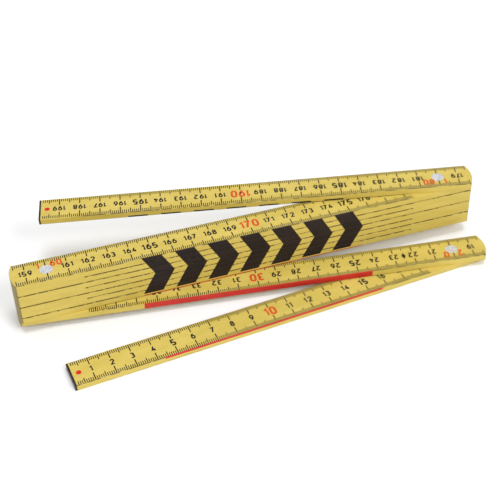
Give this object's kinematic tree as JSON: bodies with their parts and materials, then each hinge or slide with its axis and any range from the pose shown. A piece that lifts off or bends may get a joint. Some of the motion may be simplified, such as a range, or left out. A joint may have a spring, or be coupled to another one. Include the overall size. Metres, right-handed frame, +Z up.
{
  "type": "folding rule",
  "caption": "Flat carpenter's measuring rule of leaves that turn on riveted spring joints and fold into a compact stack.",
  "frame": {"origin": "middle of the rule's outline, on the surface it lies on", "axes": "+X along the folded stack towards the odd joints, +Z up, scale facing up, the fanned-out low leaves on the -Y side"},
  "size_m": [0.2346, 0.1006, 0.0339],
  "materials": {
    "leaf": "yellow lacquer, satin",
    "rivet": "brushed",
    "plate": "plain spring steel",
    "cap": "dark, blued",
    "pin": "red, glossy"
  },
  "bodies": {
    "leaf_01": {"leaf_01": "leaf", "cap_zero": "cap", "pin_zero": "pin", "rivet_01": "rivet", "detent_01": "plate"},
    "leaf_02": {"leaf_02": "leaf", "rivet_02": "rivet", "detent_02": "plate", "spring_01": "plate"},
    "leaf_03": {"leaf_03": "leaf", "rivet_03": "rivet", "detent_03": "plate", "spring_02": "plate"},
    "leaf_04": {"leaf_04": "leaf", "rivet_04": "rivet", "detent_04": "plate", "spring_03": "plate"},
    "leaf_05": {"leaf_05": "leaf", "rivet_05": "rivet", "detent_05": "plate", "spring_04": "plate"},
    "leaf_06": {"leaf_06": "leaf", "rivet_06": "rivet", "detent_06": "plate", "spring_05": "plate"},
    "leaf_07": {"leaf_07": "leaf", "rivet_07": "rivet", "detent_07": "plate", "spring_06": "plate"},
    "leaf_08": {"leaf_08": "leaf", "rivet_08": "rivet", "detent_08": "plate", "spring_07": "plate"},
    "leaf_09": {"leaf_09": "leaf", "rivet_09": "rivet", "detent_09": "plate", "spring_08": "plate"},
    "leaf_10": {"leaf_10": "leaf", "cap_end": "cap", "pin_end": "pin", "spring_09": "plate"}
  },
  "joints": [
    {"name": "fold_01", "type": "hinge", "parent": "leaf_01", "child": "leaf_02", "pos_m": [0.09842, -0.02345, 0.0033], "axis": [0, 0, -1], "range_deg": [-12.7, 167.3]},
    {"name": "fold_02", "type": "hinge", "parent": "leaf_02", "child": "leaf_03", "pos_m": [-0.1, 0.00161, 0.0067], "axis": [0, 0, 1], "range_deg": [-7.2, 172.8]},
    {"name": "fold_03", "type": "hinge", "parent": "leaf_03", "child": "leaf_04", "pos_m": [0.1, 0.00161, 0.0101], "axis": [0, 0, -1], "range_deg": [0, 180]},
    {"name": "fold_04", "type": "hinge", "parent": "leaf_04", "child": "leaf_05", "pos_m": [-0.1, 0.00161, 0.0135], "axis": [0, 0, 1], "range_deg": [0, 180]},
    {"name": "fold_05", "type": "hinge", "parent": "leaf_05", "child": "leaf_06", "pos_m": [0.1, 0.00161, 0.0169], "axis": [0, 0, -1], "range_deg": [0, 180]},
    {"name": "fold_06", "type": "hinge", "parent": "leaf_06", "child": "leaf_07", "pos_m": [-0.1, 0.00161, 0.0203], "axis": [0, 0, 1], "range_deg": [0, 180]},
    {"name": "fold_07", "type": "hinge", "parent": "leaf_07", "child": "leaf_08", "pos_m": [0.1, 0.00161, 0.0237], "axis": [0, 0, -1], "range_deg": [0, 180]},
    {"name": "fold_08", "type": "hinge", "parent": "leaf_08", "child": "leaf_09", "pos_m": [-0.1, 0.00161, 0.0271], "axis": [0, 0, 1], "range_deg": [0, 180]},
    {"name": "fold_09", "type": "hinge", "parent": "leaf_09", "child": "leaf_10", "pos_m": [0.1, 0.00161, 0.0305], "axis": [0, 0, -1], "range_deg": [-11.9, 168.1]}
  ]
}
